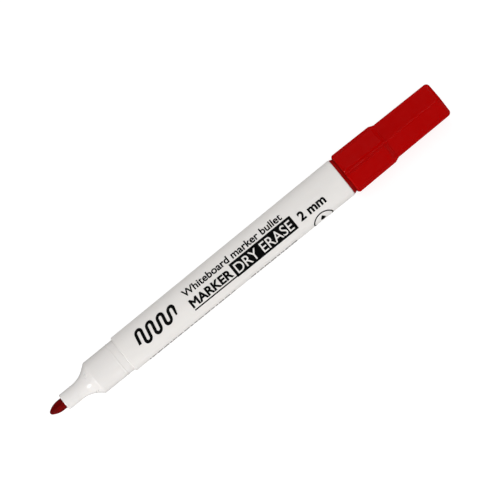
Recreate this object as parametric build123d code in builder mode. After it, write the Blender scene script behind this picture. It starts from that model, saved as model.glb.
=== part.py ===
from build123d import *
from math import atan2, cos, degrees, radians, sin, sqrt, tan
import os

# A whiteboard marker with a bullet nib, lying on its side with its cap posted on the rear end.
#
# Millimetres. The marker's axis is X: the nib points towards -X and the cap towards +X. +Z is up, and
# the cap rests on one of its six flats. The origin is on the axis, halfway between the nib's tip and
# the cap's end.

# ---- Driving sizes -------------------------------------------------------------------------------

# Nib: a compressed fibre rod with a bullet point
nib_diameter = 3.55
nib_nose_radius = 0.8
nib_ogive_radius = 6.5
nib_exposed = 5.3
nib_length = 42.0
nib_tail_chamfer = 0.5

# Nib holder: snout, flare and collar outside the barrel, insert inside it
snout_diameter = 5.41
snout_length = 5.1
snout_edge_radius = 0.4
flare_radius = 8.3
flare_angle = 38.0
shoulder_radius = 0.8
collar_diameter = 11.3
collar_length = 11.15
holder_wall = 1.1
insert_length = 6.5
insert_wall = 1.0
insert_lead = 0.3
nib_tube_length = 9.0
web_count = 4
web_thickness = 0.8
vent_count = 4
vent_radius = 0.3

# Snap bead, the same on the holder's collar and on the end plug's post
bead_height = 0.08
bead_width = 0.55
bead_setback = 2.4

# Barrel
barrel_length = 84.4
barrel_draft = 0.173
barrel_ledge = 0.59
barrel_wall = 1.04
barrel_edge_radius = 0.35
rib_count = 6
rib_height = 0.3
rib_width = 0.8
rib_end_gap = 1.5

# Ink reservoir and its film
reservoir_length = 64.0
film_thickness = 0.1

# End plug
plug_skirt_length = 8.0
plug_wall = 1.0
flange_length = 1.0
flange_inset = 0.13
post_length = 8.5
post_edge_radius = 0.6

# Cap shell
cap_length = 36.5
cap_mouth_wall = 0.47
cap_draft = 0.5
cap_ridge_radius = 0.8
cap_end_radius = 1.3
cap_end_wall = 1.2
cap_bore_depth = 14.0
cap_mouth_chamfer = 0.25
band_rise = 0.15
band_length = 15.75
band_edge_radius = 0.13
pad_rise = 0.68
pad_draft = 0.25
pad_mouth_setback = 0.1
pad_mouth_bevel = 0.45
pad_length = 15.3
pad_ramp_length = 1.05
pad_ramp_drop = 0.45
pad_edge_margin = 1.02
pad_corner_radius = 1.0
pad_bend_radius = 0.5
pad_edge_radius = 0.25
pad_wall_slope = 35.0
pad_root = 0.3
groove_depth = 0.06
groove_width = 0.8

# Cap liner: the inner cap that seals on the holder's flare when the marker is capped
liner_snout_gap = 0.395  # radial, how far the liner's bore clears the snout
liner_wall = 0.8
liner_end_wall = 1.0
liner_flange_thickness = 1.2
liner_flange_lip = 0.15
liner_pocket_wall = 1.0

# Clearances between pieces
press = 0.02            # radial interference of the press fits
film_clearance = 0.05   # radial, between the reservoir's film and the barrel's ribs
cap_clearance = 0.05    # radial, between the snap bead and the cap's bore
cap_gap = 0.1           # axial, between the end plug's flange and the cap's mouth
liner_clearance = 0.05  # radial and axial, so that the shell can turn round the liner
flange_stop = 0.22      # how far the flange stands out past the cap's bore

# ---- Sizes that follow ---------------------------------------------------------------------------

nib_radius = nib_diameter / 2
snout_radius = snout_diameter / 2
collar_radius = collar_diameter / 2
bead_radius = collar_radius + bead_height
cap_bore_radius = bead_radius + cap_clearance
barrel_front_radius = collar_radius + barrel_ledge
barrel_rear_radius = barrel_front_radius + barrel_length * tan(radians(barrel_draft))
front_seat_radius = barrel_front_radius - barrel_wall
rear_seat_radius = barrel_rear_radius - barrel_wall
rib_inner_radius = front_seat_radius - rib_height
film_radius = rib_inner_radius - film_clearance
reservoir_radius = film_radius - film_thickness
chamber_radius = front_seat_radius - insert_wall

flare_rise = flare_radius * (1 - cos(radians(flare_angle)))
flare_run = flare_radius * sin(radians(flare_angle))
slope_run = (collar_radius - snout_radius - flare_rise) / tan(radians(flare_angle))

total_length = (
    nib_exposed + snout_length + flare_run + slope_run + collar_length
    + barrel_length + flange_length + cap_gap + cap_length
)
tip_x = -total_length / 2
snout_x = tip_x + nib_exposed
flare_x = snout_x + snout_length
slope_x = flare_x + flare_run
shoulder_x = slope_x + slope_run
barrel_x = shoulder_x + collar_length
insert_end_x = barrel_x + insert_length
barrel_end_x = barrel_x + barrel_length
skirt_x = barrel_end_x - plug_skirt_length
flange_end_x = barrel_end_x + flange_length
post_end_x = flange_end_x + post_length
mouth_x = flange_end_x + cap_gap
cap_end_x = mouth_x + cap_length
nib_tail_x = tip_x + nib_length

os.makedirs("parts", exist_ok=True)


def bead_profile(base_radius, centre_x, height, width):
    """Trace a low round bead, or a groove if the height is negative, as a closed half section."""
    start = (centre_x - width / 2, base_radius)
    crest = (centre_x, base_radius + height)
    end = (centre_x + width / 2, base_radius)
    ThreePointArc(start, crest, end)
    Line(end, start)


# ---- Nib -----------------------------------------------------------------------------------------
# The nose is a small sphere, blended by a large arc into the rod.

ogive_centre_radius = nib_radius - nib_ogive_radius
ogive_reach = sqrt((nib_ogive_radius - nib_nose_radius) ** 2 - ogive_centre_radius ** 2)
nose_centre_x = tip_x + nib_nose_radius
ogive_centre_x = nose_centre_x + ogive_reach
blend_angle = degrees(atan2(-ogive_centre_radius, -ogive_reach))

with BuildPart() as nib:
    with BuildSketch(Plane.XY) as nib_half:
        with BuildLine():
            CenterArc((nose_centre_x, 0), nib_nose_radius, blend_angle, 180 - blend_angle)
            CenterArc((ogive_centre_x, ogive_centre_radius), nib_ogive_radius, 90, blend_angle - 90)
            Polyline(
                (ogive_centre_x, nib_radius),
                (nib_tail_x - nib_tail_chamfer, nib_radius),
                (nib_tail_x, nib_radius - nib_tail_chamfer),
                (nib_tail_x, 0),
                (tip_x, 0),
            )
        make_face()
    revolve(axis=Axis.X)

nib.part.label = "nib"
export_step(nib.part, "parts/nib.step")

# ---- Nib holder ----------------------------------------------------------------------------------
# One moulding. The chamber behind the flare leaves a tube round the nib, held by thin webs, and the
# vent grooves in the tube let air in as the ink goes out.

cone_shift = holder_wall / sin(radians(flare_angle))
chamber_floor_x = shoulder_x + cone_shift - (collar_radius - snout_radius) / tan(radians(flare_angle))
chamber_cone_x = shoulder_x + cone_shift - (collar_radius - chamber_radius) / tan(radians(flare_angle))
nib_tube_end_x = chamber_floor_x + nib_tube_length
insert_radius = front_seat_radius + press
holder_bead_x = barrel_x - bead_setback

with BuildPart() as nib_holder:
    with BuildSketch(Plane.XY) as holder_half:
        with BuildLine():
            Line((snout_x, 0), (snout_x, snout_radius))
            Line((snout_x, snout_radius), (flare_x, snout_radius))
            CenterArc((flare_x, snout_radius + flare_radius), flare_radius, 270, flare_angle)
            Polyline(
                (slope_x, snout_radius + flare_rise),
                (shoulder_x, collar_radius),
                (barrel_x, collar_radius),
                (barrel_x, insert_radius),
                (insert_end_x, insert_radius),
                (insert_end_x, chamber_radius),
                (chamber_cone_x, chamber_radius),
                (chamber_floor_x, snout_radius),
                (nib_tube_end_x, snout_radius),
                (nib_tube_end_x, 0),
                (snout_x, 0),
            )
        make_face()
        snout_corner = holder_half.vertices().filter_by_position(
            Axis.X, snout_x - 0.01, snout_x + 0.01).sort_by(Axis.Y)[-1]
        fillet(snout_corner, snout_edge_radius)
        shoulder_corner = holder_half.vertices().filter_by_position(
            Axis.X, shoulder_x - 0.01, shoulder_x + 0.01).sort_by(Axis.Y)[-1]
        fillet(shoulder_corner, shoulder_radius)
        insert_corner = holder_half.vertices().filter_by_position(
            Axis.X, insert_end_x - 0.01, insert_end_x + 0.01).sort_by(Axis.Y)[-1]
        chamfer(insert_corner, insert_lead)
    revolve(axis=Axis.X)
    with BuildSketch(Plane.XY):
        with BuildLine():
            bead_profile(collar_radius, holder_bead_x, bead_height, bead_width)
        make_face()
    revolve(axis=Axis.X)
    with BuildSketch(Plane.YZ.offset(chamber_floor_x)):
        with PolarLocations(0, web_count):
            with Locations((chamber_radius / 2 + snout_radius / 2, 0)):
                Rectangle(insert_wall + chamber_radius - snout_radius, web_thickness)
    extrude(amount=nib_tube_length)
    with BuildSketch(Plane.YZ.offset(snout_x)):
        Circle(nib_radius - press)
        with PolarLocations(nib_radius, vent_count, start_angle=45):
            Circle(vent_radius)
    extrude(amount=nib_tube_end_x - snout_x, mode=Mode.SUBTRACT)

nib_holder.part.label = "nib_holder"
export_step(nib_holder.part, "parts/nib_holder.step")

# ---- Barrel --------------------------------------------------------------------------------------
# A drafted tube. Ribs inside it hold the reservoir central and leave air channels beside it.

with BuildPart() as barrel:
    with BuildSketch(Plane.XY):
        with BuildLine():
            Polyline(
                (barrel_x, front_seat_radius),
                (insert_end_x, front_seat_radius),
                (skirt_x, rear_seat_radius),
                (barrel_end_x, rear_seat_radius),
                (barrel_end_x, barrel_rear_radius),
                (barrel_x, barrel_front_radius),
                close=True,
            )
        make_face()
    revolve(axis=Axis.X)
    outer_rims = barrel.edges().filter_by(GeomType.CIRCLE).group_by(SortBy.RADIUS)[-2:]
    fillet([rim for group in outer_rims for rim in group], barrel_edge_radius)
    rib_root_radius = rear_seat_radius + (barrel_front_radius - rear_seat_radius) / 4
    with BuildSketch(Plane.YZ.offset(insert_end_x + rib_end_gap)):
        with PolarLocations(0, rib_count):
            with Locations((rib_inner_radius / 2 + rib_root_radius / 2, 0)):
                Rectangle(rib_root_radius - rib_inner_radius, rib_width)
        Circle(rib_inner_radius, mode=Mode.SUBTRACT)
    extrude(amount=reservoir_length - 2 * rib_end_gap)

barrel.part.label = "barrel"
export_step(barrel.part, "parts/barrel.step")

# ---- Ink reservoir and film ----------------------------------------------------------------------

with BuildPart() as ink_reservoir:
    with BuildSketch(Plane.YZ.offset(insert_end_x)):
        Circle(reservoir_radius)
    extrude(amount=reservoir_length)
    with BuildSketch(Plane.YZ.offset(insert_end_x)):
        Circle(nib_radius - press)
    extrude(amount=nib_tail_x - insert_end_x, mode=Mode.SUBTRACT)

ink_reservoir.part.label = "ink_reservoir"
export_step(ink_reservoir.part, "parts/ink_reservoir.step")

with BuildPart() as reservoir_film:
    with BuildSketch(Plane.YZ.offset(insert_end_x)):
        Circle(film_radius)
        Circle(reservoir_radius, mode=Mode.SUBTRACT)
    extrude(amount=reservoir_length)

reservoir_film.part.label = "reservoir_film"
export_step(reservoir_film.part, "parts/reservoir_film.step")

# ---- End plug ------------------------------------------------------------------------------------
# A hollow moulding: its skirt is pressed into the barrel, its flange shows as a ring, and the cap is
# posted on the round post behind the flange.

skirt_radius = rear_seat_radius + press
plug_hollow_radius = rear_seat_radius - plug_wall
flange_front_radius = barrel_rear_radius - flange_inset
flange_rear_radius = cap_bore_radius + flange_stop
plug_bead_x = flange_end_x + bead_setback

with BuildPart() as end_plug:
    with BuildSketch(Plane.XY) as plug_half:
        with BuildLine():
            Polyline(
                (skirt_x, plug_hollow_radius),
                (skirt_x, skirt_radius),
                (barrel_end_x, skirt_radius),
                (barrel_end_x, flange_front_radius),
                (flange_end_x, flange_rear_radius),
                (flange_end_x, collar_radius),
                (post_end_x, collar_radius),
                (post_end_x, 0),
                (post_end_x - plug_wall, 0),
                (post_end_x - plug_wall, plug_hollow_radius),
                close=True,
            )
        make_face()
        skirt_corner = plug_half.vertices().filter_by_position(
            Axis.X, skirt_x - 0.01, skirt_x + 0.01).sort_by(Axis.Y)[-1]
        chamfer(skirt_corner, insert_lead)
        post_corner = plug_half.vertices().filter_by_position(
            Axis.X, post_end_x - 0.01, post_end_x + 0.01).sort_by(Axis.Y)[-1]
        fillet(post_corner, post_edge_radius)
    revolve(axis=Axis.X)
    with BuildSketch(Plane.XY):
        with BuildLine():
            bead_profile(collar_radius, plug_bead_x, bead_height, bead_width)
        make_face()
    revolve(axis=Axis.X)

end_plug.part.label = "end_plug"
export_step(end_plug.part, "parts/end_plug.step")

# ---- Cap liner -----------------------------------------------------------------------------------
# Its mouth meets the holder's flare, where the flare is as wide as the liner's bore, when the cap is
# on the nib. A flange at the mouth is snapped into a groove in the shell.

liner_bore_radius = snout_radius + liner_snout_gap
liner_tube_radius = liner_bore_radius + liner_wall
seat_run = sqrt(flare_radius ** 2 - (flare_radius - liner_snout_gap) ** 2)
liner_mouth_x = mouth_x + (barrel_x - flare_x - seat_run) - cap_gap
liner_end_x = cap_end_x - cap_end_wall - liner_clearance
cap_end_apothem = cap_bore_radius + cap_mouth_wall - cap_length * tan(radians(cap_draft))
pocket_radius = cap_end_apothem - liner_pocket_wall
liner_flange_radius = pocket_radius + liner_flange_lip
liner_rear_flange_x = liner_end_x - liner_flange_thickness

with BuildPart() as cap_liner:
    with BuildSketch(Plane.XY):
        with BuildLine():
            Polyline(
                (liner_mouth_x, liner_bore_radius),
                (liner_mouth_x, liner_flange_radius),
                (liner_mouth_x + liner_flange_thickness, liner_flange_radius),
                (liner_mouth_x + liner_flange_thickness, liner_tube_radius),
                (liner_rear_flange_x, liner_tube_radius),
                (liner_rear_flange_x, pocket_radius - liner_clearance),
                (liner_end_x, pocket_radius - liner_clearance),
                (liner_end_x, 0),
                (liner_end_x - liner_end_wall, 0),
                (liner_end_x - liner_end_wall, liner_bore_radius),
                close=True,
            )
        make_face()
    revolve(axis=Axis.X)

cap_liner.part.label = "cap_liner"
export_step(cap_liner.part, "parts/cap_liner.step")

# ---- Cap shell -----------------------------------------------------------------------------------
# A drafted hexagon with rounded ridges. Its front part stands up a little as a band, and each side of
# the band carries a raised pad. The bore, the liner's pocket and the snap groove are turned out of it.


def core_apothem(x):
    """Return the distance from the axis to the flats of the drafted core at a station."""
    return cap_bore_radius + cap_mouth_wall - (x - mouth_x) * tan(radians(cap_draft))


def pad_apothem(x):
    """Return the distance from the axis to the pads' flat tops at a station."""
    return core_apothem(x) + pad_rise - (x - mouth_x) * tan(radians(pad_draft))


def runs_lengthways(edge):
    """Tell whether an edge of a drafted hexagon runs along the cap, as its ridges do."""
    return abs(edge.tangent_at(0.5).X) > 0.9


pad_front_x = mouth_x + pad_mouth_setback
pad_flat_x = pad_front_x + pad_mouth_bevel
pad_middle_x = pad_front_x + pad_length / 2
pad_ramp_x = pad_front_x + pad_length - pad_ramp_length
pad_end_x = pad_front_x + pad_length
pad_width = 2 * (pad_apothem(pad_middle_x) * tan(radians(30)) - pad_edge_margin / cos(radians(30)))
pad_root_z = core_apothem(pad_end_x) - pad_root
pad_block_height = pad_apothem(mouth_x) - pad_root_z
pad_spread = pad_block_height * tan(radians(pad_wall_slope))
groove_x = mouth_x + bead_setback - cap_gap
pocket_end_x = cap_end_x - cap_end_wall

with BuildPart() as cap_core:
    with BuildSketch(Plane.YZ.offset(mouth_x)):
        RegularPolygon(radius=core_apothem(mouth_x), side_count=6, major_radius=False)
    extrude(amount=cap_length, taper=cap_draft)
    # The end is rounded while the ridges are sharp, because its radius is the larger of the two.
    fillet(cap_core.faces().sort_by(Axis.X)[-1].edges(), cap_end_radius)
    fillet(cap_core.edges().filter_by(runs_lengthways), cap_ridge_radius)

with BuildPart() as cap_band:
    with BuildSketch(Plane.YZ.offset(mouth_x)):
        RegularPolygon(radius=core_apothem(mouth_x) + band_rise, side_count=6, major_radius=False)
    extrude(amount=band_length, taper=cap_draft)
    fillet(cap_band.edges().filter_by(runs_lengthways), cap_ridge_radius)
    chamfer(cap_band.faces().sort_by(Axis.X)[0].edges(), cap_mouth_chamfer)
    fillet(cap_band.faces().sort_by(Axis.X)[-1].edges(), band_edge_radius)

# The Z of a normal above which a face of a pad belongs to its top: the mouth bevel is the steepest
# face of the top, and this is halfway between it and the side walls.
pad_bevel_tilt = cos(atan2(pad_mouth_bevel, pad_mouth_bevel))
pad_top_tilt = 0.5 * (sin(radians(pad_wall_slope)) + pad_bevel_tilt)

with BuildPart() as cap_pad:
    with BuildSketch(Plane.XZ) as pad_profile:
        with BuildLine():
            Polyline(
                (pad_front_x, pad_root_z),
                (pad_front_x, pad_apothem(pad_flat_x) - pad_mouth_bevel),
                (pad_flat_x, pad_apothem(pad_flat_x)),
                (pad_ramp_x, pad_apothem(pad_ramp_x)),
                (pad_end_x, pad_apothem(pad_ramp_x) - pad_ramp_drop),
                (pad_end_x, pad_root_z),
                close=True,
            )
        make_face()
        bends = pad_profile.vertices().sort_by(Axis.Y)[-2:]
        fillet(bends, pad_bend_radius)
    extrude(amount=pad_width, both=True)
    with BuildSketch(Plane.XY.offset(pad_root_z)):
        with Locations((pad_middle_x, 0)):
            RectangleRounded(
                pad_length + 2 * pad_spread,
                pad_width + 2 * pad_spread,
                pad_corner_radius + pad_spread,
            )
    extrude(amount=pad_block_height, taper=pad_wall_slope, mode=Mode.INTERSECT)
    tops = cap_pad.faces().filter_by(lambda face: face.normal_at().Z > pad_top_tilt)
    walls = cap_pad.faces() - tops
    rims = ShapeList(edge for edge in walls.edges() if edge in tops.edges())
    fillet(rims, pad_edge_radius)

with BuildPart() as cap_shell:
    add(cap_core.part)
    add(cap_band.part)
    for side in range(6):
        add(cap_pad.part.rotate(Axis.X, 60 * side))
    with BuildSketch(Plane.XY):
        with BuildLine():
            Polyline(
                (mouth_x, 0),
                (mouth_x, cap_bore_radius),
                (mouth_x + cap_bore_depth, cap_bore_radius),
                (mouth_x + cap_bore_depth, pocket_radius),
                (liner_mouth_x - liner_clearance, pocket_radius),
                (liner_mouth_x - liner_clearance, liner_flange_radius + liner_clearance),
                (
                    liner_mouth_x + liner_flange_thickness + liner_clearance,
                    liner_flange_radius + liner_clearance,
                ),
                (liner_mouth_x + liner_flange_thickness + liner_clearance, pocket_radius),
                (pocket_end_x, pocket_radius),
                (pocket_end_x, 0),
                close=True,
            )
        make_face()
    revolve(axis=Axis.X, mode=Mode.SUBTRACT)
    with BuildSketch(Plane.XY):
        with BuildLine():
            bead_profile(cap_bore_radius, groove_x, groove_depth, groove_width)
        make_face()
    revolve(axis=Axis.X, mode=Mode.SUBTRACT)

cap_shell.part.label = "cap_shell"
export_step(cap_shell.part, "parts/cap_shell.step")
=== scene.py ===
"""Whiteboard marker: the looks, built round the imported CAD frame.

Everything is in metres, in the frame of the CAD model: the marker lies along X with its nib towards
-X and its posted cap towards +X, and +Z is up.
"""
import logging
import math
from dataclasses import dataclass, field
from enum import Enum

import bmesh
import bpy
from mathutils import Matrix, Vector, noise
from mathutils.bvhtree import BVHTree


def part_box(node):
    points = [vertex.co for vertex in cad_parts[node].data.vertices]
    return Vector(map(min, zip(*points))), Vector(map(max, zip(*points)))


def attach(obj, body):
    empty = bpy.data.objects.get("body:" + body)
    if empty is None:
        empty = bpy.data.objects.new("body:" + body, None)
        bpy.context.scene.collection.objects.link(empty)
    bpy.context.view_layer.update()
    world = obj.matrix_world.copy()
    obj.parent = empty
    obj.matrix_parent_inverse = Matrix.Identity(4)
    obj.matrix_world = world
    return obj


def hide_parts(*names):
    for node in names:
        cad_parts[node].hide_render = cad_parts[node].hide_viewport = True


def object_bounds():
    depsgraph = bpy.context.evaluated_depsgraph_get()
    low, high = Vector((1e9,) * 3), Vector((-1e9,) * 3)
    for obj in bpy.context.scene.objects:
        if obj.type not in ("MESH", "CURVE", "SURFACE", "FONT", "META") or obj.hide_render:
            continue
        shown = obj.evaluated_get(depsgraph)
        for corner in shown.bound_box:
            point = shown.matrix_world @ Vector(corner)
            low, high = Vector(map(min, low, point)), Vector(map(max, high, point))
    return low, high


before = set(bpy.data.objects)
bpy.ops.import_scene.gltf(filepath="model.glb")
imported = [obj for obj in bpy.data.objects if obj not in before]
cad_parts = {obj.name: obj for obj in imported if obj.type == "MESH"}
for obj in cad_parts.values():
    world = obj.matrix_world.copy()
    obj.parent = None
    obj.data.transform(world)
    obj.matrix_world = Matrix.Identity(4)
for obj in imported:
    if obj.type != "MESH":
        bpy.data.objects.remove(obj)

LOG = logging.getLogger("marker")
CAD_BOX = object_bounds()
MM = 0.001
WHITE = (1.0, 1.0, 1.0, 1.0)
Colour = tuple[float, float, float]
Triple = tuple[float, float, float]
Span = tuple[float, float]


# ---- Node helpers --------------------------------------------------------------------------------


class NodeBook:
    """A material's node tree, with short ways to add and join nodes."""

    def __init__(self, name: str) -> None:
        """Start a material with only a Principled shader and an output.

        Args:
            name: The material's name.
        """
        self.material = bpy.data.materials.new(name)
        self.material.use_nodes = True
        self.tree = self.material.node_tree
        self.shader = self.tree.nodes["Principled BSDF"]

    def add(self, kind: str, **settings: object) -> bpy.types.Node:
        """Add a node and set its properties.

        Args:
            kind: The node's type, without the leading "ShaderNode".
            settings: Properties of the node, by name.

        Returns:
            The new node.
        """
        node = self.tree.nodes.new(f"ShaderNode{kind}")
        for key, value in settings.items():
            setattr(node, key, value)
        return node

    def join(self, source: bpy.types.NodeSocket, target: bpy.types.NodeSocket) -> None:
        """Link an output socket to an input socket."""
        self.tree.links.new(source, target)

    def fix(self, **values: object) -> None:
        """Set constants on the shader's own sockets.

        Args:
            values: Socket names with underscores for spaces, and their values.
        """
        for key, value in values.items():
            self.shader.inputs[key.replace("_", " ")].default_value = value

    def place(self, stretch: Triple = (1.0, 1.0, 1.0)) -> bpy.types.NodeSocket:
        """Give object coordinates, stretched for a pattern that runs one way.

        Args:
            stretch: Scale along X, Y and Z.

        Returns:
            The vector socket to drive a texture with.
        """
        coordinates = self.add("TexCoord")
        mapping = self.add("Mapping")
        mapping.inputs["Scale"].default_value = stretch
        self.join(coordinates.outputs["Object"], mapping.inputs["Vector"])
        return mapping.outputs["Vector"]

    def cloud(self, vector: bpy.types.NodeSocket, scale: float, detail: float = 3.0,
              roughness: float = 0.5) -> bpy.types.NodeSocket:
        """Add a noise texture and return its grey output.

        Args:
            vector: The coordinates to read.
            scale: Cells for each metre.
            detail: Octaves of finer noise.
            roughness: Strength of the finer octaves.

        Returns:
            The noise value, from 0 to 1.
        """
        texture = self.add("TexNoise")
        texture.inputs["Scale"].default_value = scale
        texture.inputs["Detail"].default_value = detail
        texture.inputs["Roughness"].default_value = roughness
        self.join(vector, texture.inputs["Vector"])
        return texture.outputs["Fac"]

    def ramp(self, value: bpy.types.NodeSocket, low: float, high: float, first: Colour,
             last: Colour) -> bpy.types.NodeSocket:
        """Turn a grey value into a colour between two others.

        Args:
            value: The grey value.
            low: The value where the first colour ends.
            high: The value where the last colour starts.
            first: Linear colour at and below low.
            last: Linear colour at and above high.

        Returns:
            The colour socket.
        """
        node = self.add("ValToRGB")
        node.color_ramp.elements[0].position = low
        node.color_ramp.elements[1].position = high
        node.color_ramp.elements[0].color = (*first, 1.0)
        node.color_ramp.elements[1].color = (*last, 1.0)
        self.join(value, node.inputs["Fac"])
        return node.outputs["Color"]

    def spread(self, value: bpy.types.NodeSocket, low: float, high: float,
               span: Span = (0.3, 0.7)) -> bpy.types.NodeSocket:
        """Map a grey value onto a range of numbers.

        Args:
            value: The grey value.
            low: The result at the start of the span.
            high: The result at the end of the span.
            span: The part of the grey scale that is used.

        Returns:
            The mapped value.
        """
        node = self.add("MapRange")
        node.inputs["From Min"].default_value = span[0]
        node.inputs["From Max"].default_value = span[1]
        node.inputs["To Min"].default_value = low
        node.inputs["To Max"].default_value = high
        self.join(value, node.inputs["Value"])
        return node.outputs["Result"]

    def relief(self, height: bpy.types.NodeSocket, distance: float, strength: float = 1.0,
               below: bpy.types.NodeSocket | None = None) -> bpy.types.NodeSocket:
        """Add a bump node, on top of another one if it is given.

        Args:
            height: The grey height.
            distance: The height of a full step, in metres.
            strength: How much of the bump shows.
            below: The normal that the bump is laid on.

        Returns:
            The normal socket.
        """
        node = self.add("Bump")
        node.inputs["Distance"].default_value = distance
        node.inputs["Strength"].default_value = strength
        self.join(height, node.inputs["Height"])
        if below is not None:
            self.join(below, node.inputs["Normal"])
        return node.outputs["Normal"]


# ---- Finishes ------------------------------------------------------------------------------------


@dataclass(frozen=True)
class MouldedPlastic:
    """An injection-moulded plastic: faint flow clouds, uneven gloss and a fine skin texture."""

    name: str
    colour: Colour
    cloud_colour: Colour
    gloss_low: float
    gloss_high: float
    skin_depth: float = 0.000004
    skin_scale: float = 1500.0
    sink_depth: float = 0.000006
    sink_scale: float = 260.0
    cloud_scale: float = 180.0
    handling_scale: float = 420.0
    flow_stretch: Triple = (0.25, 1.0, 1.0)
    glow: float = 0.0
    glow_colour: Colour = (1.0, 1.0, 1.0)
    glow_depth: float = 0.001
    shine: float = 0.45

    def make(self) -> bpy.types.Material:
        """Build the material.

        Returns:
            The new material.
        """
        book = NodeBook(self.name)
        flow = book.place(self.flow_stretch)
        plain = book.place()
        clouds = book.cloud(flow, self.cloud_scale, 4.0, 0.55)
        book.join(book.ramp(clouds, 0.35, 0.65, self.cloud_colour, self.colour),
                  book.shader.inputs["Base Color"])
        handling = book.cloud(plain, self.handling_scale, 5.0, 0.6)
        book.join(book.spread(handling, self.gloss_low, self.gloss_high),
                  book.shader.inputs["Roughness"])
        sink = book.relief(book.cloud(flow, self.sink_scale, 2.0), self.sink_depth, 0.5)
        skin = book.relief(book.cloud(plain, self.skin_scale, 4.0, 0.65), self.skin_depth, 0.6, sink)
        book.join(skin, book.shader.inputs["Normal"])
        book.fix(Specular_IOR_Level=self.shine, IOR=1.49)
        if self.glow > 0.0:
            book.fix(Subsurface_Weight=self.glow, Subsurface_Radius=self.glow_colour,
                     Subsurface_Scale=self.glow_depth)
        return book.material


@dataclass(frozen=True)
class FibreRod:
    """Compressed fibre soaked in ink: fine strands along the rod, matt, with hardly any shine."""

    name: str
    dry: Colour
    wet: Colour
    strand_scale: float = 900.0
    strand_stretch: Triple = (0.06, 1.0, 1.0)
    strand_depth: float = 0.00006
    shine: float = 0.06

    def make(self) -> bpy.types.Material:
        """Build the material.

        Returns:
            The new material.
        """
        book = NodeBook(self.name)
        along = book.place(self.strand_stretch)
        strands = book.cloud(along, self.strand_scale * 3.0, 5.0, 0.7)
        patches = book.cloud(book.place(), self.strand_scale, 3.0)
        mix = book.add("Math", operation="MULTIPLY")
        book.join(strands, mix.inputs[0])
        book.join(book.spread(patches, 0.7, 1.25), mix.inputs[1])
        book.join(book.ramp(mix.outputs[0], 0.38, 0.66, self.wet, self.dry),
                  book.shader.inputs["Base Color"])
        book.join(book.spread(patches, 0.55, 0.8), book.shader.inputs["Roughness"])
        book.join(book.relief(strands, self.strand_depth, 0.7), book.shader.inputs["Normal"])
        book.fix(Specular_IOR_Level=self.shine)
        return book.material


@dataclass(frozen=True)
class ScreenInk:
    """Screen-printed ink: a thin film with a slightly uneven density and a low gloss."""

    name: str
    dense: Colour
    thin: Colour
    mottle_scale: float = 2600.0
    mottle_depth: float = 0.000003
    shine: float = 0.15

    def make(self) -> bpy.types.Material:
        """Build the material.

        Returns:
            The new material.
        """
        book = NodeBook(self.name)
        mottle = book.cloud(book.place(), self.mottle_scale, 4.0, 0.6)
        book.join(book.ramp(mottle, 0.3, 0.75, self.dense, self.thin), book.shader.inputs["Base Color"])
        book.join(book.spread(mottle, 0.32, 0.5), book.shader.inputs["Roughness"])
        book.join(book.relief(mottle, self.mottle_depth, 0.5), book.shader.inputs["Normal"])
        book.fix(Specular_IOR_Level=self.shine)
        return book.material


@dataclass(frozen=True)
class WrapFilm:
    """Thin clear film round the reservoir, with fine creases that run round it."""

    name: str
    tint: Colour
    crease_tint: Colour = (0.9, 0.88, 0.87)
    crease_stretch: Triple = (1.0, 0.2, 0.2)
    crease_scale: float = 900.0
    crease_depth: float = 0.00002

    def make(self) -> bpy.types.Material:
        """Build the material.

        Returns:
            The new material.
        """
        book = NodeBook(self.name)
        creases = book.cloud(book.place(self.crease_stretch), self.crease_scale, 4.0, 0.6)
        book.join(book.ramp(creases, 0.3, 0.7, self.tint, self.crease_tint),
                  book.shader.inputs["Base Color"])
        book.join(book.spread(creases, 0.08, 0.22), book.shader.inputs["Roughness"])
        book.join(book.relief(creases, self.crease_depth, 0.5), book.shader.inputs["Normal"])
        book.fix(Transmission_Weight=0.7, IOR=1.47)
        return book.material


@dataclass(frozen=True)
class StudioFloor:
    """A plain pale floor, lit through from below like a light table, with a hardly visible grain."""

    name: str = "studio floor"
    dark_grain: Colour = (0.29, 0.29, 0.29)
    light_grain: Colour = (0.31, 0.31, 0.31)
    grain_scale: float = 60.0
    glow: float = 0.81

    def make(self) -> bpy.types.Material:
        """Build the material.

        Returns:
            The new material.
        """
        book = NodeBook(self.name)
        grain = book.cloud(book.place(), self.grain_scale, 4.0)
        book.join(book.ramp(grain, 0.3, 0.7, self.dark_grain, self.light_grain),
                  book.shader.inputs["Base Color"])
        book.join(book.spread(grain, 0.85, 0.95), book.shader.inputs["Roughness"])
        book.fix(Specular_IOR_Level=0.1, Emission_Color=WHITE, Emission_Strength=self.glow)
        return book.material


WHITE_BARREL = MouldedPlastic(
    "white barrel plastic", (0.80, 0.775, 0.75), (0.785, 0.76, 0.735), 0.34, 0.46,
    skin_depth=0.000003, glow=0.12, glow_colour=(1.0, 0.9, 0.8), glow_depth=0.0012)
WHITE_HOLDER = MouldedPlastic(
    "white holder plastic", (0.79, 0.765, 0.745), (0.775, 0.75, 0.73), 0.18, 0.25,
    skin_depth=0.000002, glow=0.18, glow_colour=(1.0, 0.9, 0.8), glow_depth=0.0015)
RED_CAP = MouldedPlastic(
    "red cap plastic", (0.40, 0.0005, 0.0003), (0.385, 0.0004, 0.0002), 0.16, 0.26,
    skin_depth=0.000001, sink_depth=0.0000015, glow=0.12, glow_colour=(1.0, 0.04, 0.03),
    glow_depth=0.0012, shine=0.18)
DARK_RED_PLUG = MouldedPlastic(
    "dark red plug plastic", (0.32, 0.001, 0.0008), (0.29, 0.0008, 0.0006), 0.24, 0.38, shine=0.2)
NATURAL_LINER = MouldedPlastic(
    "natural liner plastic", (0.78, 0.77, 0.74), (0.74, 0.73, 0.70), 0.4, 0.52,
    glow=0.3, glow_depth=0.002)
NIB_FIBRE = FibreRod("red nib fibre", (0.2, 0.0008, 0.0006), (0.09, 0.0002, 0.0002))
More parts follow.
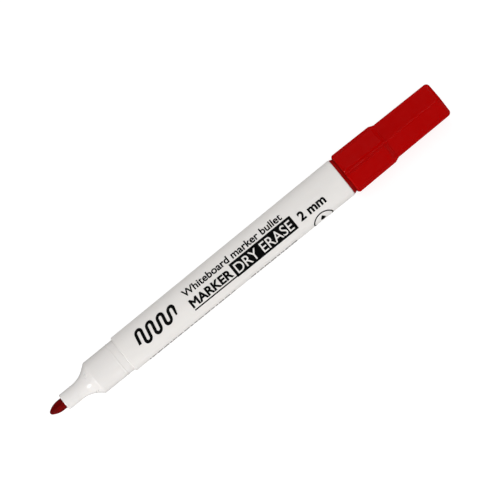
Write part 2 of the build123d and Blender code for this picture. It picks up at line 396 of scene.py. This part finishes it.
RESERVOIR_FIBRE = FibreRod("ink reservoir fibre", (0.62, 0.09, 0.08), (0.36, 0.015, 0.015), 500.0)
BLACK_INK = ScreenInk("black print ink", (0.0012, 0.0012, 0.0013), (0.003, 0.003, 0.0032))


# ---- Mesh helpers --------------------------------------------------------------------------------


def object_from(shape: bmesh.types.BMesh, name: str, smooth_angle: float) -> bpy.types.Object:
    """Turn a bmesh into an object in the scene, at the origin.

    Args:
        shape: The finished bmesh, which is freed.
        name: The object's name.
        smooth_angle: Edges sharper than this, in radians, stay sharp.

    Returns:
        The new object.
    """
    for face in shape.faces:
        face.smooth = True
    for edge in shape.edges:
        if len(edge.link_faces) == 2 and edge.calc_face_angle() > smooth_angle:
            edge.smooth = False
    mesh = bpy.data.meshes.new(name)
    shape.to_mesh(mesh)
    shape.free()
    piece = bpy.data.objects.new(name, mesh)
    bpy.context.scene.collection.objects.link(piece)
    return piece


def dress(piece: bpy.types.Object, material: bpy.types.Material) -> None:
    """Give a piece, or a CAD node, one material in all its slots."""
    if not piece.data.materials:
        piece.data.materials.append(material)
    for material_slot in piece.material_slots:
        material_slot.material = material


# ---- Nib -----------------------------------------------------------------------------------------


@dataclass
class Nib:
    """The fibre nib: a rod with a bullet point and fine strands that stand up a little."""

    nose_radius: float = 0.8 * MM
    ogive_radius: float = 6.5 * MM
    tail_chamfer: float = 0.5 * MM
    strand_height: float = 0.022 * MM
    strand_length: float = 2.2 * MM
    strands_round: float = 17.0
    finer: float = 2.3
    finer_share: float = 0.25
    still_radius: float = 0.05 * MM
    turns: int = 128
    nose_steps: int = 8
    ogive_steps: int = 40
    rod_steps: int = 60
    material: FibreRod = NIB_FIBRE

    def outline(self) -> list[Vector]:
        """Work out the half section, from the tip to the tail.

        Returns:
            Points with X along the axis and Y as the radius.
        """
        low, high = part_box("nib")
        radius = high.y
        drop = radius - self.ogive_radius
        reach = math.sqrt((self.ogive_radius - self.nose_radius) ** 2 - drop ** 2)
        nose_x = low.x + self.nose_radius
        shoulder_x = nose_x + reach
        blend = math.atan2(-drop, -reach)
        points = []
        for step in range(self.nose_steps + 1):
            turn = math.pi + (blend - math.pi) * step / self.nose_steps
            points.append(Vector((nose_x + self.nose_radius * math.cos(turn),
                                  self.nose_radius * math.sin(turn), 0.0)))
        for step in range(1, self.ogive_steps + 1):
            turn = blend + (math.pi / 2 - blend) * step / self.ogive_steps
            points.append(Vector((shoulder_x + self.ogive_radius * math.cos(turn),
                                  drop + self.ogive_radius * math.sin(turn), 0.0)))
        rod_end = high.x - self.tail_chamfer
        for step in range(1, self.rod_steps + 1):
            along = shoulder_x + (rod_end - shoulder_x) * step / self.rod_steps
            points.append(Vector((along, radius, 0.0)))
        points.append(Vector((high.x, radius - self.tail_chamfer, 0.0)))
        points.append(Vector((high.x, 0.0, 0.0)))
        points[0].y = 0.0
        return points

    def raise_strands(self, shape: bmesh.types.BMesh) -> None:
        """Push the surface in between the strands, and leave the widest of it at the CAD radius."""
        for vertex in shape.verts:
            radial = Vector((0.0, vertex.co.y, vertex.co.z))
            if radial.length < self.still_radius:
                continue
            turn = math.atan2(vertex.co.z, vertex.co.y)
            sample = Vector((math.cos(turn) * self.strands_round, math.sin(turn) * self.strands_round,
                             vertex.co.x / self.strand_length))
            depth = 0.5 + 0.5 * noise.noise(sample)
            depth += self.finer_share * noise.noise(sample * self.finer)
            vertex.co -= radial.normalized() * self.strand_height * max(depth, 0.0)

    def build(self) -> bpy.types.Object:
        """Spin the outline, add the strands and replace the plain CAD nib.

        Returns:
            The nib's object.
        """
        shape = bmesh.new()
        ring = [shape.verts.new(point) for point in self.outline()]
        edges = [shape.edges.new(pair) for pair in zip(ring, ring[1:])]
        bmesh.ops.spin(shape, geom=ring + edges, cent=(0.0, 0.0, 0.0), axis=(1.0, 0.0, 0.0),
                       angle=math.tau, steps=self.turns, use_merge=True, use_duplicate=False)
        bmesh.ops.remove_doubles(shape, verts=shape.verts, dist=0.001 * MM)
        bmesh.ops.recalc_face_normals(shape, faces=shape.faces)
        self.raise_strands(shape)
        piece = object_from(shape, "bullet_nib", math.radians(35))
        dress(piece, self.material.make())
        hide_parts("nib")
        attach(piece, "pen")
        return piece


# ---- Print on the barrel -------------------------------------------------------------------------


class Weight(Enum):
    """How far a line of lettering grows beyond the plain font's strokes, in metres."""

    PLAIN = 0.08 * MM
    OPEN = 0.04 * MM
    BOLD = 0.15 * MM


@dataclass(frozen=True)
class Patch:
    """A rectangle of the barrel, in millimetres from its front edge and from the print's centre line."""

    along: Span
    across: Span

    def shrink(self, margin: Span) -> "Patch":
        """Return the patch with a margin taken off its ends and off its lower and upper edge."""
        return Patch((self.along[0] + margin[0], self.along[1] - margin[0]),
                     (self.across[0] + margin[1], self.across[1] - margin[1]))

    def middle(self) -> Vector:
        """Return the centre of the patch, in metres."""
        return Vector((sum(self.along) / 2, sum(self.across) / 2, 0.0)) * MM

    def size(self) -> Vector:
        """Return the length and the height of the patch, in metres."""
        return Vector((self.along[1] - self.along[0], self.across[1] - self.across[0], 0.0)) * MM


@dataclass
class BarrelWrap:
    """Lays a flat drawing round the drafted barrel.

    A drawing has X along the barrel from its front edge and Y across the print, upwards, both in
    metres. The print's centre line faces forwards and up, square to the camera's line of sight.
    """

    centre_turn: float = math.radians(120)
    film_height: float = 0.02 * MM
    root_depth: float = 0.012 * MM
    strip: float = 0.25 * MM
    weld: float = 0.002 * MM
    cut_snap: float = 0.0005 * MM
    front_x: float = field(init=False)
    front_radius: float = field(init=False)
    slope: float = field(init=False)

    def __post_init__(self) -> None:
        """Read the barrel's cone from the CAD node's own vertices."""
        low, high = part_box("barrel")
        middle_x = (low.x + high.x) / 2
        rims = {True: (0.0, 0.0), False: (0.0, 0.0)}
        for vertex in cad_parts["barrel"].data.vertices:
            place = vertex.co
            radius = math.hypot(place.y, place.z)
            rims[place.x > middle_x] = max(rims[place.x > middle_x], (radius, place.x))
        self.front_x = low.x
        front_rim, rear_rim = rims[False], rims[True]
        self.slope = (rear_rim[0] - front_rim[0]) / (rear_rim[1] - front_rim[1])
        self.front_radius = front_rim[0] - self.slope * (front_rim[1] - low.x)

    def radius(self, x: float) -> float:
        """Return the barrel's radius at a distance from its front edge."""
        return self.front_radius + self.slope * x

    def point(self, x: float, across: float, lift: float) -> Vector:
        """Place a point of the drawing on the barrel.

        Args:
            x: Distance from the barrel's front edge.
            across: Distance round the barrel from the print's centre line, upwards.
            lift: Height above the barrel's surface.

        Returns:
            The point in the marker's frame.
        """
        radius = self.radius(x)
        turn = self.centre_turn - across / radius
        height = radius + lift
        return Vector((self.front_x + x, height * math.cos(turn), height * math.sin(turn)))

    def lay(self, flat: bmesh.types.BMesh, name: str, material: bpy.types.Material) -> bpy.types.Object:
        """Cut a flat drawing into narrow strips, give it a thickness and wrap it.

        Args:
            flat: The drawing, which is freed.
            name: The piece's name.
            material: The ink.

        Returns:
            The wrapped piece, riding on the pen.
        """
        bmesh.ops.remove_doubles(flat, verts=flat.verts, dist=self.weld)
        low = min(vertex.co.y for vertex in flat.verts)
        high = max(vertex.co.y for vertex in flat.verts)
        for step in range(1, math.ceil((high - low) / self.strip)):
            bmesh.ops.bisect_plane(flat, geom=flat.verts[:] + flat.edges[:] + flat.faces[:],
                                   dist=self.cut_snap, plane_co=(0.0, low + step * self.strip, 0.0),
                                   plane_no=(0.0, 1.0, 0.0))
        bottom = flat.faces[:]
        raised = bmesh.ops.extrude_face_region(flat, geom=bottom, use_keep_orig=True)
        tops = [item for item in raised["geom"] if isinstance(item, bmesh.types.BMVert)]
        bmesh.ops.translate(flat, verts=tops, vec=(0.0, 0.0, self.film_height + self.root_depth))
        for vertex in flat.verts:
            vertex.co = self.point(vertex.co.x, vertex.co.y, vertex.co.z - self.root_depth)
        bmesh.ops.recalc_face_normals(flat, faces=flat.faces)
        piece = object_from(flat, name, math.radians(40))
        dress(piece, material)
        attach(piece, "pen")
        return piece


@dataclass
class BarrelPrint:
    """The black print: an ornament, lines of plain words, a filled box, a line width and a ring."""

    wrap: BarrelWrap
    ink: ScreenInk = BLACK_INK
    font_steps: int = 6
    font_cap_height: float = 0.69
    miter_limit: float = 2.0
    weld: float = 0.002 * MM
    small_words: Patch = Patch((25.2, 62.7), (1.5, 4.0))
    bold_word: Patch = Patch((25.2, 40.7), (-2.75, 0.25))
    underline: Patch = Patch((25.2, 41.5), (-3.68, -3.22))
    box: Patch = Patch((41.4, 64.8), (-3.9, 1.0))
    box_margin: Span = (0.9, 0.75)
    line_width: Patch = Patch((66.6, 76.3), (-2.93, 0.15))

    def build(self) -> list[bpy.types.Object]:
        """Make every printed piece.

        Returns:
            The printed pieces.
        """
        ink = self.ink.make()
        drawings = {
            "print_small_words": self.words("Whiteboard marker bullet", Weight.PLAIN, self.small_words),
            "print_bold_word": self.words("MARKER", Weight.BOLD, self.bold_word),
            "print_underline": self.bar(self.underline),
            "print_boxed_words": self.boxed_words("DRY ERASE", self.box, self.box_margin),
            "print_line_width": self.words("2 mm", Weight.BOLD, self.line_width),
            "print_ornament": self.ornament(),
            "print_ring": self.ring(),
            "print_fine_rows": self.fine_rows(),
        }
        return [self.wrap.lay(drawing, name, ink) for name, drawing in drawings.items()]

    def words(self, text: str, weight: Weight, patch: Patch) -> bmesh.types.BMesh:
        """Draw a line of words with the built-in font.

        Args:
            text: The words.
            weight: How heavy the strokes are.
            patch: Where the words go, from the baseline to the top of the capitals.

        Returns:
            The drawing.
        """
        curve = bpy.data.curves.new(text, "FONT")
        curve.body = text
        curve.resolution_u = self.font_steps
        holder = bpy.data.objects.new(text, curve)
        bpy.context.scene.collection.objects.link(holder)
        bpy.context.view_layer.update()
        graph = bpy.context.evaluated_depsgraph_get()
        mesh = bpy.data.meshes.new_from_object(holder.evaluated_get(graph))
        bpy.data.objects.remove(holder)
        flat = bmesh.new()
        flat.from_mesh(mesh)
        bpy.data.meshes.remove(mesh)
        grow = weight.value
        xs = [vertex.co.x for vertex in flat.verts]
        room = patch.size()
        scale_x = (room.x - 2 * grow) / (max(xs) - min(xs))
        scale_y = (room.y - 2 * grow) / self.font_cap_height
        corner = Matrix.Translation((patch.along[0] * MM + grow, patch.across[0] * MM + grow, 0.0))
        size = Matrix.Diagonal((scale_x, scale_y, 1.0, 1.0))
        bmesh.ops.transform(flat, verts=flat.verts,
                            matrix=corner @ size @ Matrix.Translation((-min(xs), 0.0, 0.0)))
        bmesh.ops.remove_doubles(flat, verts=flat.verts, dist=self.weld)
        self.thicken(flat, grow)
        return flat

    def thicken(self, flat: bmesh.types.BMesh, grow: float) -> None:
        """Move the outlines of a flat drawing outwards.

        Args:
            flat: The drawing.
            grow: How far each outline moves.
        """
        moves = {}
        for vertex in flat.verts:
            sides = []
            for edge in vertex.link_edges:
                if len(edge.link_faces) == 1:
                    run = (edge.verts[1].co - edge.verts[0].co).normalized()
                    side = Vector((run.y, -run.x, 0.0))
                    inwards = edge.link_faces[0].calc_center_median() - edge.verts[0].co
                    sides.append(side if side.dot(inwards) < 0.0 else -side)
            if len(sides) == 2:
                total = sides[0] + sides[1]
                move = total * 2.0 / max(total.length_squared, 0.001)
                moves[vertex] = move.normalized() * min(move.length, self.miter_limit)
        for vertex, move in moves.items():
            vertex.co += move * grow

    def boxed_words(self, text: str, patch: Patch, margin: Span) -> bmesh.types.BMesh:
        """Draw a filled box with the words left open in it.

        Args:
            text: The words.
            patch: The box.
            margin: Space beside the words and above and below them, in millimetres.

        Returns:
            The drawing.
        """
        flat = self.words(text, Weight.OPEN, patch.shrink(margin))
        letters = BVHTree.FromBMesh(flat)
        bmesh.ops.delete(flat, geom=flat.faces[:], context="FACES_KEEP_BOUNDARY")
        rim = bmesh.ops.create_circle(flat, segments=4, radius=1.0)["verts"]
        half = patch.size() / 2
        for vertex, (right, up) in zip(rim, ((1, 1), (-1, 1), (-1, -1), (1, -1))):
            vertex.co = patch.middle() + Vector((right * half.x, up * half.y, 0.0))
        above = Vector((0.0, 0.0, 1.0))
        bmesh.ops.triangle_fill(flat, use_beauty=True, edges=flat.edges[:], normal=above)
        inside = [face for face in flat.faces
                  if letters.ray_cast(face.calc_center_median() + above, -above)[0] is not None]
        bmesh.ops.delete(flat, geom=inside, context="FACES")
        return flat

    @staticmethod
    def bar(patch: Patch) -> bmesh.types.BMesh:
        """Draw a plain bar.

        Args:
            patch: Where the bar goes.

        Returns:
            The drawing.
        """
        flat = bmesh.new()
        bmesh.ops.create_grid(flat, x_segments=1, y_segments=1, size=0.5)
        room = patch.size()
        size = Matrix.Diagonal((room.x, room.y, 1.0, 1.0))
        bmesh.ops.transform(flat, verts=flat.verts, matrix=Matrix.Translation(patch.middle()) @ size)
        return flat

    @staticmethod
    def ornament() -> bmesh.types.BMesh:
        """Draw a marker's scribble: one slanted stroke up and down that fades out.

        Returns:
            The drawing.
        """
        start, middle = 6.4 * MM, 0.55 * MM
        reach, fade = 1.55 * MM, 0.07
        turn_radius, pen, slant = 1.0 * MM, 0.49 * MM, 0.22
        turns, steps = 7, 14
        tail_reach, tail_pen = 0.9, 0.6
        pairs = [(Vector((start - pen, middle - reach, 0.0)), Vector((start + pen, middle - reach, 0.0)))]
        for turn in range(turns):
            way = 1 if turn % 2 == 0 else -1
            height = middle + way * reach * (1.0 - fade * turn)
            centre = Vector((start + turn_radius * (2 * turn + 1), height, 0.0))
            for step in range(steps + 1):
                angle = math.pi * (1.0 - step / steps)
                heading = Vector((math.cos(angle), way * math.sin(angle), 0.0))
                pairs.append((centre + heading * (turn_radius + way * pen),
                              centre + heading * (turn_radius - way * pen)))
        tail = Vector((start + 2 * turn_radius * turns, middle - reach * tail_reach, 0.0))
        tip = Vector((tail_pen * pen, 0.0, 0.0))
        pairs.append((tail + tip, tail - tip))
        flat = bmesh.new()
        edge = flat.edges.new((flat.verts.new(pairs[0][0]), flat.verts.new(pairs[0][1])))
        for left, right in pairs[1:]:
            grown = bmesh.ops.extrude_edge_only(flat, edges=[edge])["geom"]
            edge = next(item for item in grown if isinstance(item, bmesh.types.BMEdge))
            edge.verts[0].co = left
            edge.verts[1].co = right
        for vertex in flat.verts:
            vertex.co.x += slant * (vertex.co.y - middle)
        return flat

    @staticmethod
    def ring() -> bmesh.types.BMesh:
        """Draw a ring with a small drop in it, which the barrel's edge half hides.

        Returns:
            The drawing.
        """
        flat = bmesh.new()
        middle_x, middle, outer, inner = 72.45 * MM, -8.25 * MM, 3.65 * MM, 3.2 * MM
        drop_radius, drop_shift, stretch, pinch = 0.88 * MM, 0.7 * MM, 0.7, 0.55
        centre = Matrix.Translation((middle_x, middle, 0.0))
        rims = []
        for radius in (outer, inner):
            made = bmesh.ops.create_circle(flat, segments=72, radius=radius, matrix=centre)
            rims += [edge for edge in flat.edges if edge.verts[0] in made["verts"]]
        bmesh.ops.bridge_loops(flat, edges=rims)
        drop = bmesh.ops.create_circle(flat, segments=32, radius=drop_radius, cap_ends=True,
                                       matrix=centre @ Matrix.Translation((0.0, drop_shift, 0.0)))
        for vertex in drop["verts"]:
            lift = max(vertex.co.y - middle - drop_shift, 0.0)
            vertex.co.y += lift * stretch
            vertex.co.x += (middle_x - vertex.co.x) * lift / drop_radius * pinch
        return flat

    def fine_rows(self) -> bmesh.types.BMesh:
        """Draw rows of short dashes, which stand for small print without any words.

        Returns:
            The drawing.
        """
        first_x, last_x, gap_start, gap_end = 5.4, 62.0, 37.0, 43.0
        top_row, row_pitch, rows, height, space = -8.6, 1.2, 4, 0.42, 0.45
        shortest, variation, wander, row_shift = 0.5, 1.6, 2.4, 7
        flat = bmesh.new()
        for row in range(rows):
            across = top_row - row_pitch * row
            x = first_x
            index = row * row_shift
            while x < last_x:
                long = shortest + variation * abs(math.sin(index * wander + row))
                if not gap_start < x < gap_end:
                    dash = self.bar(Patch((x, x + long), (across, across + height)))
                    mesh = bpy.data.meshes.new("dash")
                    dash.to_mesh(mesh)
                    dash.free()
                    flat.from_mesh(mesh)
                    bpy.data.meshes.remove(mesh)
                x += long + space
                index += 1
        return flat


# ---- Mouldings carried over from CAD -------------------------------------------------------------


@dataclass
class Mouldings:
    """The CAD nodes whose shape is right, and the finish of each."""

    finishes: dict[str, MouldedPlastic | FibreRod | WrapFilm] = field(default_factory=lambda: {
        "barrel": WHITE_BARREL,
        "nib_holder": WHITE_HOLDER,
        "end_plug": DARK_RED_PLUG,
        "cap_shell": RED_CAP,
        "cap_liner": NATURAL_LINER,
        "ink_reservoir": RESERVOIR_FIBRE,
        "reservoir_film": WrapFilm("reservoir wrap film", (0.8, 0.7, 0.7)),
    })

    def dress_all(self) -> None:
        """Give each node its material."""
        for node, finish in self.finishes.items():
            dress(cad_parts[node], finish.make())
            LOG.info("dressed %s with %s", node, finish.name)


# ---- Studio --------------------------------------------------------------------------------------


@dataclass(frozen=True)
class Lamp:
    """A soft rectangular light that faces the marker: metres for place and size, watts for power.

    Only a mirrored lamp shows in glossy surfaces. The others stand for light that comes from all
    round, so they leave no bright patches.
    """

    name: str
    place: Triple
    size: Span
    power: float
    mirrored: bool = False

    def build(self) -> bpy.types.Object:
        """Add the lamp.

        Returns:
            The lamp's object.
        """
        light = bpy.data.lights.new(self.name, "AREA")
        light.shape = "RECTANGLE"
        light.size, light.size_y = self.size
        light.energy = self.power
        holder = bpy.data.objects.new(self.name, light)
        bpy.context.scene.collection.objects.link(holder)
        centre = Vector(self.place)
        turn = (-centre).to_track_quat("-Z", "Y").to_matrix().to_4x4()
        holder.matrix_world = Matrix.Translation(centre) @ turn
        holder.visible_glossy = self.mirrored
        return holder


LAMPS = (
    Lamp("overhead", (0.0, 0.0, 0.9), (1.6, 1.6), 5.7),
    Lamp("softbox", (-0.47, -0.25, 0.09), (0.13, 0.11), 1.3, mirrored=True),
    Lamp("front fill", (0.1, -0.75, 0.75), (0.7, 0.5), 4.3),
    Lamp("back fill", (0.25, 0.75, 0.5), (0.8, 0.6), 3.7),
    Lamp("end fill", (0.6, -0.1, 0.35), (0.3, 0.3), 0.7),
)


@dataclass
class Studio:
    """The camera, the floor and the lights."""

    elevation: float = math.radians(60)
    roll: float = math.radians(39.07)
    distance: float = 1.6
    field_width: float = 150.0 * MM
    aim_x: float = 2.35 * MM
    aim_lift: float = 0.39 * MM
    sensor: float = 36.0
    clip_near: float = 0.01
    floor_size: float = 3.0
    floor_gap: float = 0.02 * MM
    lamps: tuple[Lamp, ...] = LAMPS

    def add_camera(self) -> bpy.types.Object:
        """Add a long-lens camera that looks square onto the marker's axis, rolled to its slant.

        Returns:
            The camera.
        """
        towards = Vector((0.0, -math.cos(self.elevation), math.sin(self.elevation)))
        above = Vector((0.0, math.sin(self.elevation), math.cos(self.elevation)))
        along = Vector((1.0, 0.0, 0.0))
        right = math.cos(self.roll) * along - math.sin(self.roll) * above
        up = math.sin(self.roll) * along + math.cos(self.roll) * above
        lens = bpy.data.cameras.new("camera")
        lens.sensor_width = self.sensor
        lens.lens = self.sensor * self.distance / self.field_width
        lens.clip_start = self.clip_near
        camera = bpy.data.objects.new("camera", lens)
        bpy.context.scene.collection.objects.link(camera)
        place = along * self.aim_x + above * self.aim_lift + towards * self.distance
        turn = Matrix((right, up, towards)).transposed().to_4x4()
        camera.matrix_world = Matrix.Translation(place) @ turn
        bpy.context.scene.camera = camera
        return camera

    def add_floor(self) -> bpy.types.Object:
        """Add the pale floor just under the marker.

        Returns:
            The floor.
        """
        shape = bmesh.new()
        bmesh.ops.create_grid(shape, x_segments=1, y_segments=1, size=self.floor_size / 2)
        bmesh.ops.translate(shape, verts=shape.verts,
                            vec=(0.0, 0.0, CAD_BOX[0][2] - self.floor_gap))
        floor = object_from(shape, "floor", math.pi)
        dress(floor, StudioFloor().make())
        return floor

    def build(self) -> None:
        """Set up the backdrop, the lights, the floor and the camera."""
        scene = bpy.context.scene
        scene.view_settings.view_transform = "Standard"
        world = bpy.data.worlds.new("white backdrop")
        world.use_nodes = True
        world.node_tree.nodes["Background"].inputs["Color"].default_value = WHITE
        world.cycles_visibility.diffuse = False
        world.cycles_visibility.glossy = False
        scene.world = world
        for lamp in self.lamps:
            lamp.build()
        floor = self.add_floor()
        floor.visible_glossy = False
        self.add_camera()


def main() -> None:
    """Build the studio and every piece of the marker."""
    Studio().build()
    Mouldings().dress_all()
    pieces = [Nib().build()]
    pieces += BarrelPrint(BarrelWrap()).build()
    for piece in pieces:
        LOG.info("%s: %d faces", piece.name, len(piece.data.polygons))


if __name__ == "__main__":
    logging.basicConfig(level=logging.INFO)
    main()
